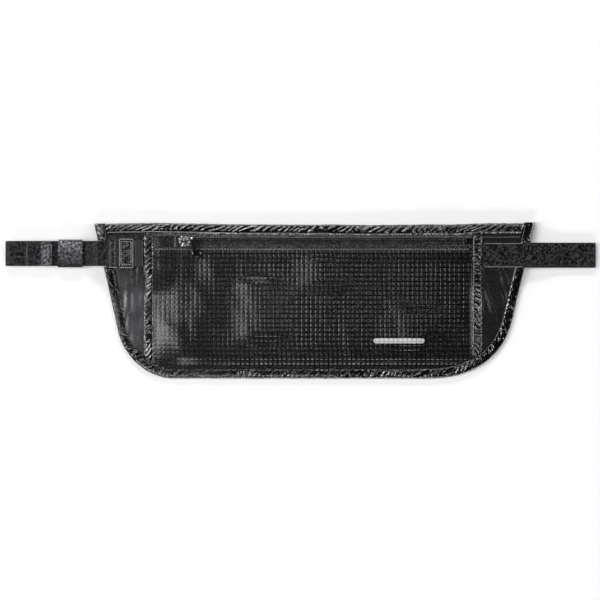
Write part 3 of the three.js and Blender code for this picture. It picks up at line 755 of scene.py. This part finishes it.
def pocket_tape(name, node, inner_x, outward, seed):
    """Upright tape over one side of the pocket's front, turned down to the base at its outer side."""
    columns = np.linspace(0, 1, 15)
    count = 240
    v = np.linspace(0, 1, count)
    sections = []
    outer_x = inner_x + outward * UPRIGHT
    for t in columns:
        x_line = inner_x + (outer_x - inner_x) * t
        low_y = float(bottom_y_at(x_line, EDGE_TAPE + 0.25))
        y = UPRIGHT_END_Y + (low_y - UPRIGHT_END_Y) * v
        x = np.full(count, x_line) + upright_wander(y, t, seed)
        seams = sum(math.exp(-(((t - row) / 0.06) ** 2)) for row in UPRIGHT_ROWS)
        crown = 0.3 * math.sin(math.pi * t)
        ridge = 1.3 * pucker(y, t, seed, 1.5, 5.0) * float(window(0.24, 0.76, 0.14, t))
        lip = -0.7 * (1 - smooth(0, 0.08, t)) if t < 0.5 else -0.3 * smooth(0.93, 1, t)
        tucked = smooth(50.8, 52.8, y)
        z = hem(x, y) + 1.0 + (crown + ridge) * (1 - tucked) - 0.32 * seams + lip - 1.6 * tucked
        sections.append((x, y, z, z - 0.4))
    x, y, z, _ = sections[-1]
    floor = under(x, y) + FRONT_LOW
    for k in (0.35, 0.7, 1.0):
        sections.append((x + outward * 0.15, y, z + (floor - z) * k, z + (floor - z) * k))
    outer = [np.stack([x, y, top], axis=1) for x, y, top, _ in sections]
    inner = []
    for index, (x, y, top, low) in enumerate(sections):
        flank = index >= len(columns)
        shift = -outward * 0.5 if flank or index == len(columns) - 1 else 0.0
        inner.append(np.stack([x + shift, y, low], axis=1))
    rings = np.stack(outer + inner[::-1], axis=1)
    piece = build(name, *sweep(rings), POCKET_TAPE, split=50)
    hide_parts(node)


# ---- stitches
def stitches(name, path, material, pitch=2.2, length=1.95, radius=0.24, lift=0.0):
    """Thread stitches along a path of points: each is a short bowed capsule."""
    path = np.asarray(path, float)
    at = distances(path)
    parts = []
    angles = np.linspace(0, 2 * math.pi, 7)[:-1]
    for start in np.arange(pitch * 0.2, at[-1] - length, pitch):
        s = start + np.linspace(0, length, 5)
        points = np.stack([np.interp(s, at, path[:, k]) for k in range(3)], axis=1)
        points[:, 2] += lift + np.array([-0.25, 0.06, 0.14, 0.06, -0.25])
        along = points[-1] - points[0]
        along = along / np.linalg.norm(along)
        side = np.cross(along, (0, 0, 1.0))
        side /= np.linalg.norm(side)
        up = np.cross(side, along)
        rings = []
        for point, size in zip(points, (0.55, 0.95, 1.0, 0.95, 0.55)):
            circle = np.cos(angles)[:, None] * side + np.sin(angles)[:, None] * up
            rings.append(point + circle * radius * size)
        parts.append(sweep(rings))
    build(name, *merge(parts), material)


def tape_height(x, y):
    """Height of the stitches on the tape round the pouch."""
    return front(x, y) + 0.86


def edge_stitches(edge, normals):
    """The row along the tape round the sides and bottom."""
    plan = edge + normals * (EDGE_TAPE - 1.1)
    plan = plan[plan[:, 1] < TOP_Y + 0.5]
    path = np.column_stack([plan, tape_height(plan[:, 0], plan[:, 1])])
    # dark thread on the left and bottom: painted shade in the groove at the tape's inner edge
    stitches("thread_edge_left", path[plan[:, 0] < 90], DARK_THREAD_PAINTED_SHADE)
    stitches("thread_edge_right", path[plan[:, 0] >= 90], THREAD, lift=0.1)


def top_stitches():
    """The row along the top tape, in pale, mid and dark thread along its length: painted highlight and
    painted shade where it catches the light unevenly.
    """
    x = np.linspace(-154.5, 176.5, 300)
    y = top_line(x, TOP_TAPE - 0.9)
    path = np.column_stack([x, y, tape_height(x, y)])
    # pale and dark stretches paint the highlight and the shade along the row
    stretches = (
        ("left", -200, -50, PALE_THREAD_PAINTED_HIGHLIGHT),
        ("middle", -50, 25, THREAD),
        ("right", 25, 130, DARK_THREAD_PAINTED_SHADE),
        ("end", 130, 200, THREAD),
    )
    for stretch, start, end, thread in stretches:
        stitches(f"thread_top_{stretch}", path[(x >= start) & (x < end)], thread, radius=0.3, lift=0.15)


def zip_stitches():
    """The row that holds the zip's upper tape."""
    x = np.linspace(-104, 176.5, 300)
    y = 50.2 + 0.2 * noise(x / 30, 0.7, 43)
    stitches("thread_zip", np.column_stack([x, y, front(x, y) + 0.46]), THREAD, radius=0.26, lift=0.1)


def pocket_stitches():
    """Two rows on each upright tape; the inner one at the right is in pale thread, a painted highlight where
    it catches the light.
    """
    for side, inner_x, outward, seed in POCKET_SIDES:
        for row, t in enumerate(UPRIGHT_ROWS):
            x_line = inner_x + outward * UPRIGHT * t
            y = np.linspace(50.5, float(bottom_y_at(x_line, EDGE_TAPE + 0.6)), 90)
            x = np.full(len(y), x_line) + upright_wander(y, t, seed)
            z = hem(x, y) + 0.84
            # pale thread here is a painted highlight on the lit edge
            bright = PALE_THREAD_PAINTED_HIGHLIGHT if row == 0 and side == "right" else THREAD
            stitches(f"thread_pocket_{side}_{row}", np.column_stack([x, y, z]), bright)


def hem_stitches():
    """A pale row along the pocket's hem, a painted highlight on its folded edge, and a dark one under it,
    painted shade in the groove there.
    """
    x = np.linspace(POCKET_LEFT + 0.8, POCKET_RIGHT - 0.8, 300)
    y = POCKET_TOP - 1.1 + hem_wave(x)
    stitches("thread_hem", np.column_stack([x, y, hem(x, y) + 0.5]), PALE_THREAD_PAINTED_HIGHLIGHT, radius=0.24, lift=0.1)
    # dark thread: painted shade in the groove under the hem
    path = np.column_stack([x, y - 1.4, hem(x, y) + 0.35])
    stitches("thread_hem_low", path, DARK_THREAD_PAINTED_SHADE, radius=0.3, lift=0.1)


def strap_stitches():
    """The rows that hold the right wing's cloth over and under the strap."""
    for number, y_line in enumerate((STRAP_Y + 7.9, STRAP_Y - 10.7)):
        x = np.linspace(146.5, 178, 40)
        y = np.full(len(x), y_line)
        path = np.column_stack([x, y, np.full(len(x), RIGHT_WING_Z + 0.5)])
        stitches(f"thread_strap_right_{number}", path, PALE_THREAD_PAINTED_HIGHLIGHT, pitch=2.0, length=1.8, radius=0.2)


# ---- zip
def zip_tape(name, node, y0, y1):
    """One woven tape of the zip, flat wherever the slider runs over it."""
    xs = np.linspace(POCKET_LEFT - 4, POCKET_RIGHT + 4, 260)
    ys = np.linspace(y0, y1, 18)
    x, y = np.meshgrid(xs, ys, indexing="ij")
    slider_run = window(-140, 130, 1.2, x) * window(40, 51.5, 1.0, y)
    level = np.maximum(front(x, y), float(front(0.0, ZIP_Y)))
    base = front(x, y) * (1 - slider_run) + level * slider_run + 0.03 * noise(x / 6, y / 3, 61)
    piece = build(name, *sheet_solid(x, y, base + 0.02, base + 0.46), ZIP_TAPE)
    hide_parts(node)


def zip_coil(name, node, side):
    """One nylon coil: a flattened helix whose turns pass between the other coil's."""
    pitch, turns_per = 1.27, 14
    x0, x1 = -94.0, 129.7
    count = int((x1 - x0) / pitch * turns_per)
    a = np.arange(count) / turns_per * 2 * math.pi + (0 if side > 0 else math.pi)
    z_low = float(front(0.0, ZIP_Y))
    x = x0 + np.arange(count) / turns_per * pitch
    square = np.sign(np.cos(a)) * np.abs(np.cos(a)) ** 0.7
    y = ZIP_Y + side * (1.3 - 0.76 * square)
    z = z_low + 0.45 + 0.46 * np.sin(a)
    centre = np.stack([x, y, z], axis=1)
    along = unit(np.gradient(centre, axis=0))
    outward = np.stack([np.zeros(count), -side * np.cos(a), np.sin(a)], axis=1)
    across = unit(np.cross(along, outward))
    outward = np.cross(across, along)
    rings = [
        centre + 0.25 * (math.cos(t) * across * 1.15 + math.sin(t) * outward)
        for t in np.linspace(0, 2 * math.pi, 7)[:-1]
    ]
    piece = build(name, *sweep(np.stack(rings, axis=1)), COIL)
    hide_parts(node)


def end_tab():
    """Smooth tab that covers the closed end of the zip."""
    xs = np.linspace(POCKET_LEFT + 0.2, -97.9, 40)
    ys = np.linspace(POCKET_TOP + 0.3, 51.6, 22)
    x, y = np.meshgrid(xs, ys, indexing="ij")
    rise = 0.5 * smooth(-101.5, -99.5, x)
    rumple = 0.12 * noise(x / 4, y / 4, 71)
    roll = -0.25 * smooth(-98.6, -97.9, x)
    base = front(x, y) + 0.85 + rise + rumple
    piece = build("cloth_zip_end", *sheet_solid(x, y, base, base + 0.5 + roll), WING_CLOTH)
    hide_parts("zip_end_tab")


def tag_rim():
    """Raised bead round the puller's grip."""
    centre_x, centre_y, top = -83.05, 37.47, 10.5
    turns = np.linspace(0, 2 * math.pi, 49)[:-1]
    sides = np.linspace(0, 2 * math.pi, 13)[:-1]
    vertices = []
    for a in turns:
        for b in sides:
            reach = 3.2 + 0.75 * math.cos(b)
            vertices.append((
                centre_x + reach * math.cos(a),
                centre_y + reach * math.sin(a),
                top - 0.1 + 0.6 * math.sin(b),
            ))
    faces = torus_faces(len(turns), len(sides))
    build("tag_rim", vertices, faces, RUBBER, body="grip")


# ---- straps
def arc(x, z, radius, a, b, steps):
    """Points on a circle in x and z, from an angle of a to one of b degrees."""
    angles = np.radians(np.linspace(a, b, steps + 1))
    return [(x + radius * math.cos(t), z + radius * math.sin(t)) for t in angles]


def rounded_line(points, spacing=0.7, rounding=1.6):
    """Evenly spaced [x, z] points along a line whose corners are rounded."""
    line = np.asarray(points, float)
    at = distances(line)
    s = np.linspace(0, at[-1], max(4, int(at[-1] / spacing)) + 1)
    reach = np.minimum(np.minimum(s, at[-1] - s), rounding)
    total = 0
    for k in np.linspace(-1, 1, 7):
        total = total + np.stack([np.interp(s + reach * k, at, line[:, i]) for i in (0, 1)], axis=1)
    return s, total / 7


def strap_band(line, seed, thickness=0.95, wander=0.12, drop=0.0):
    """A flat band along a line of [x, z] points, with rounded selvedges and slightly uneven edges.

    Its right end lies lower in the picture by drop.
    """
    s, path = rounded_line(line)
    along = unit(np.gradient(path, axis=0))
    normal = np.stack([-along[:, 1], along[:, 0]], axis=1)
    across = np.linspace(-1, 1, 25)
    edge_wave = wander * noise(s / 14, 0.5, seed)
    rows = []
    for side, order in ((1, across), (-1, across[::-1])):
        for t in order:
            level = STRAP_Y - drop * smooth(40, 140, path[:, 0])
            fat = thickness / 2 * max(0.12, float((1 - abs(t) ** 10) ** 0.5))
            offset = side * fat + 0.05 * noise(s / 9, t * 1.5, seed + 2)
            x = path[:, 0] + normal[:, 0] * offset
            z = path[:, 1] + normal[:, 1] * offset
            y = level + t * STRAP_HALF + edge_wave
            rows.append(np.stack([x, y, z], axis=1))
    return np.stack(rows, axis=1)


LEFT_WING_Z = 5.3 + WING_TOP + 0.8
RIGHT_WING_Z = 2.6 + WING_TOP + 0.8
LEFT_FOLD = (-233.4, 3.0)


def straps():
    """The elastic: left run, loose tail and its hem, the loop round the buckle's bar, and the right run."""
    left = strap_band([
        (-125.7, LEFT_WING_Z), (-162.4, LEFT_WING_Z), (-164.5, LEFT_WING_Z - 0.7), (-170.5, 4.9), (-173, 4.2),
        *arc(*LEFT_FOLD, 1.2, 90, 270, 12), (SEAM_X, 1.8),
    ], seed=81)
    piece = build("strap_left_band", *sweep(left), ELASTIC)
    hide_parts("strap_left")

    tail = strap_band([(SEAM_X, 0.5), *arc(*LEFT_FOLD, 2.5, 270, 90, 16), (-198.8, 5.5)], seed=82)
    hem_turn = strap_band([(-198.8, 6.5), (-207.6, 6.5)], seed=82, thickness=0.8, wander=0.05)
    piece = build("strap_tail_band", *sweep(tail), ELASTIC)
    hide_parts("strap_tail")
    build("strap_tail_hem", *sweep(hem_turn), ELASTIC_HEM_PAINTED_LIGHT)

    loop = strap_band([
        (SEAM_X, 1.8), (-167, 1.8), (-158.5, 4.5), *arc(-147.8, 2.5, 2, 90, -90, 12), (SEAM_X, 0.5),
    ], seed=83)
    piece = build("strap_loop_band", *sweep(loop), ELASTIC, body=None)
    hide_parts("strap_loop")
    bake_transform(piece)

    right = strap_band([
        (145.3, RIGHT_WING_Z), (184, RIGHT_WING_Z), (190, RIGHT_WING_Z - 0.8), (204, 3.9), (212, 3.5),
        *arc(234.4, 2.0, 1.5, 90, -90, 12), *arc(-113.8, 2.5, 2, 270, 90, 12),
        (-110, 4.5), (-102, 1.8), (-92, 1.8),
    ], seed=84, drop=1.4)
    piece = build("strap_right_band", *sweep(right), ELASTIC)
    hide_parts("strap_right")


def keeper():
    """Wide elastic loop round the strap: its two walls meet in rounded sides."""
    count = 72
    angles = np.linspace(0, 2 * math.pi, count + 1)[:-1]
    c, s = np.cos(angles), np.sin(angles)
    shape_y = np.sign(c) * np.abs(c) ** 0.22
    shape_z = np.sign(s) * np.abs(s) ** 0.45
    middle, half_y, half_z, wall = 5.35, 11.1, 2.7, 0.75
    wander = 0.15 * noise(angles * 3, 0.3, 90)
    outer, inner = [], []
    for x in np.linspace(KEEPER_LEFT, KEEPER_RIGHT, 34):
        end = min(x - KEEPER_LEFT, KEEPER_RIGHT - x)
        lip = 0.12 * math.exp(-((end / 0.8) ** 2))
        y = STRAP_Y + (half_y + lip) * shape_y
        z = middle + (half_z - 0.25 + lip) * shape_z + 0.05 * noise(x / 5, angles, 91)
        outer.append(np.stack([x + wander, y, z], axis=1))
        y = STRAP_Y + (half_y - wall) * shape_y
        z = middle + (half_z - wall - 0.05) * shape_z
        inner.append(np.stack([x + wander, y, z], axis=1))
    loop = np.array(outer + inner[::-1])
    faces = torus_faces(len(loop), count)
    piece = build("keeper_band", loop.reshape(-1, 3), faces, ELASTIC_PALE, body="keeper", split=60)
    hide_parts("strap_keeper")


def anchor_tab():
    """Webbing patch: a ribbed flap, and a double square with a twill middle inside a box stitch."""
    low = LEFT_WING_Z + 0.5 + 0.3

    def patch(x0, x1, y0, y1, z0, z1, seed, rib=0.0):
        xs, ys = np.linspace(x0, x1, 40), np.linspace(y0, y1, 60)
        x, y = np.meshgrid(xs, ys, indexing="ij")
        near = np.minimum(np.minimum(x - x0, x1 - x), np.minimum(y - y0, y1 - y))
        rounded = -0.35 * np.exp(-((near / 0.5) ** 2))
        ridge = rib * np.sin((x - x0) * 2 * math.pi / 2.6)
        top = z1 + rounded + ridge + 0.05 * noise(x / 3, y / 3, seed)
        return sheet_solid(x, y, np.full_like(x, z0), top)

    flap = build("tab_flap", *patch(-154, -145.3, 25.3, 49.1, low, low + 0.8, 95, 0.14), WEBBING)
    square = build("tab_square", *patch(-145.2, -133.2, 25.2, 49.2, low, low + 1.35, 96), TWILL)
    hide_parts("anchor_tab")
    underlay = build("tab_underlay", *patch(-133.0, -126.0, 26.9, 47.5, low - 0.25, low + 0.15, 97), PATCH)
    boxes = ((-144.6, -133.9, 26.0, 48.5), (-143.4, -135.3, 28.2, 46.6))
    for number, (x0, x1, y0, y1) in enumerate(boxes):
        corners = [(x0, y0), (x1, y0), (x1, y1), (x0, y1), (x0, y0)]
        path = [(x, y, low + 1.22) for x, y in corners]
        # pale thread, also a painted highlight where the box stitch reflects the light
        stitches(f"thread_box_{number}", path, PALE_THREAD_PAINTED_HIGHLIGHT, pitch=1.75, length=1.6, radius=0.34)
    for number, x in enumerate((-152.2, -148.2)):
        path = [(x, 26.0, low + 0.75), (x, 48.4, low + 0.75)]
        stitches(f"thread_flap_{number}", path, THREAD, pitch=1.6, length=1.4, radius=0.28)
    path = [(-153.4, 25.9, low + 0.7), (-145.6, 25.9, low + 0.7)]
    stitches("thread_flap_end", path, PALE_THREAD_PAINTED_HIGHLIGHT, pitch=1.6, length=1.5, radius=0.3)


def tail_stitches():
    """Zigzag tack across the tail and the hem's straight row."""
    y = np.linspace(STRAP_Y - 9, STRAP_Y + 9, 25)
    x = -218.8 + 0.7 * np.where(np.arange(25) % 2, 1, -1)
    path = np.column_stack([x, y, np.full(25, 6.0)])
    stitches("thread_zigzag", path, THREAD, pitch=1.7, length=1.5, radius=0.16)
    path = [(-206.6, STRAP_Y - 9.2, 6.92), (-206.6, STRAP_Y + 9.2, 6.92)]
    stitches("thread_tail_hem", path, THREAD, pitch=1.8, length=1.4, radius=0.17)


# ---- print
def print_bar():
    """Plain rounded bar of ink on the pocket, in place of any lettering."""
    x0, x1, y0, y1 = 58.0, 98.8, -34.6, -30.6
    xs, t = np.linspace(x0, x1, 90), np.linspace(-1, 1, 12)
    radius = (y1 - y0) / 2
    end = np.clip(np.minimum(xs - x0, x1 - xs) / radius, 0.02, 1)
    half = radius * np.sqrt(1 - (1 - end) ** 2)
    x = np.repeat(xs[:, None], len(t), axis=1)
    y = (y0 + y1) / 2 + half[:, None] * t[None, :]
    base = hem(x, y) + relief(x, y)
    piece = build("ink_bar", *sheet_solid(x, y, base + 0.46, base + 0.72), PRINT)
    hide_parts("printed_bar")


# ---- CAD pieces that stay
def dress(node, material, bevel_mm):
    """A better material and rounded edges for a CAD node that is shown as it is."""
    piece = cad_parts[node]
    piece.data.materials.clear()
    piece.data.materials.append(material)
    for holder in piece.material_slots:
        holder.material = material
    weld = piece.modifiers.new("weld", "WELD")
    weld.merge_threshold = 0.02 * MM
    bevel = piece.modifiers.new("bevel", "BEVEL")
    bevel.width = bevel_mm * MM
    bevel.segments = 3
    bevel.limit_method = "ANGLE"
    bevel.angle_limit = math.radians(35)
    bevel.harden_normals = True


# ---- stage
LIGHTS = (
    # name, place, size, power
    ("key_left", (-1.25, 0.15, 1.5), (0.4, 1.2), 20),
    ("softbox_top", (-0.1, 1.6, 0.95), (1.3, 0.3), 14),
    ("softbox_left", (-1.55, -0.2, 1.05), (0.35, 1.1), 10),
    ("softbox_right", (1.55, 0.2, 1.05), (0.4, 1.1), 12),
    ("softbox_near", (0.0, -1.6, 0.72), (1.3, 0.3), 14),
)


def studio_floor():
    """A wide matt floor that glows more the further it is from the object."""
    bpy.ops.mesh.primitive_plane_add(size=24, location=(0, 0, -0.0002))
    floor = bpy.context.object
    floor.name = "floor"
    n = Nodes("floor")
    reach = n.add("ShaderNodeVectorMath", operation="LENGTH")
    n.plug(n.place, reach.inputs[0])
    glow = n.remap(reach.outputs["Value"], 0.4, 2.2, 0.1, 0.9)
    n.plug(glow, n.shader.inputs["Emission Strength"])
    looks = {"Specular_IOR_Level": 0.1, "Emission_Color": (1, 1, 1, 1)}
    floor.data.materials.append(n.finish((0.84, 0.84, 0.84, 1), 0.9, **looks))


def studio_world():
    """A surround that is bright at the horizon and dark overhead."""
    world = bpy.data.worlds.new("studio")
    bpy.context.scene.world = world
    world.use_nodes = True
    tree = world.node_tree
    background = tree.nodes["Background"]
    background.inputs["Color"].default_value = (1, 1, 1, 1)
    place = tree.nodes.new("ShaderNodeTexCoord")
    split = tree.nodes.new("ShaderNodeSeparateXYZ")
    ramp = tree.nodes.new("ShaderNodeMapRange")
    for name, value in (("From Min", 0.06), ("From Max", 0.3), ("To Min", 1.0), ("To Max", 0.02)):
        ramp.inputs[name].default_value = value
    tree.links.new(place.outputs["Generated"], split.inputs[0])
    tree.links.new(split.outputs["Z"], ramp.inputs["Value"])
    tree.links.new(ramp.outputs[0], background.inputs["Strength"])


def area_light(name, place, size, power):
    """A rectangular light that faces the object."""
    light = bpy.data.lights.new(name, "AREA")
    light.shape = "RECTANGLE"
    light.size, light.size_y = size
    light.energy = power
    lamp = bpy.data.objects.new(name, light)
    bpy.context.scene.collection.objects.link(lamp)
    lamp.location = place
    lamp.rotation_euler = (-Vector(place)).to_track_quat("-Z", "Y").to_euler()


def studio_camera():
    """A camera straight above, whose picture is VIEW_WIDTH wide on the floor."""
    camera = bpy.data.cameras.new("camera")
    camera.sensor_width = SENSOR_WIDTH
    camera.lens = SENSOR_WIDTH * CAMERA_HEIGHT / VIEW_WIDTH
    holder = bpy.data.objects.new("camera", camera)
    bpy.context.scene.collection.objects.link(holder)
    holder.location = (CAMERA_SHIFT, 0, CAMERA_HEIGHT)
    bpy.context.scene.camera = holder
    settings = bpy.context.scene.view_settings
    settings.view_transform = "Standard"
    settings.look = "None"
    settings.exposure = 0.0


# ---- assembly
studio_floor()
studio_world()
for light in LIGHTS:
    area_light(*light)
studio_camera()

base = full_panel("cloth_base", BASE_LOW, BASE_HIGH, WING_CLOTH, wing_folds)
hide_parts("base_panel")
back = full_panel("cloth_back", 0.72, 1.2, LINING)
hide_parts("back_panel")

pocket_front()
edge, normals = edge_binding()
top_binding()
for side, inner_x, outward, seed in POCKET_SIDES:
    pocket_tape(f"tape_pocket_{side}", f"pocket_binding_{side}", inner_x, outward, seed)

edge_stitches(edge, normals)
top_stitches()
zip_stitches()
pocket_stitches()
hem_stitches()
strap_stitches()

zip_tape("cloth_zip_upper", "zip_tape_upper", 49.6, 57.0)
zip_tape("cloth_zip_lower", "zip_tape_lower", 38.0, 44.4)
zip_coil("coil_upper", "zip_coil_upper", 1)
zip_coil("coil_lower", "zip_coil_lower", -1)
end_tab()
tag_rim()
print_bar()

straps()
keeper()
anchor_tab()
tail_stitches()

dress("zip_slider", CAST_METAL, 0.3)
dress("pull_link", LINK_METAL, 0.22)
for node in ("zip_top_stop_upper", "zip_top_stop_lower", "zip_bottom_stop"):
    dress(node, METAL, 0.2)
dress("pull_grip", RUBBER, 0.4)
for node in ("buckle_female", "buckle_male", "buckle_latch_upper", "buckle_latch_lower"):
    dress(node, PLASTIC, 0.3)
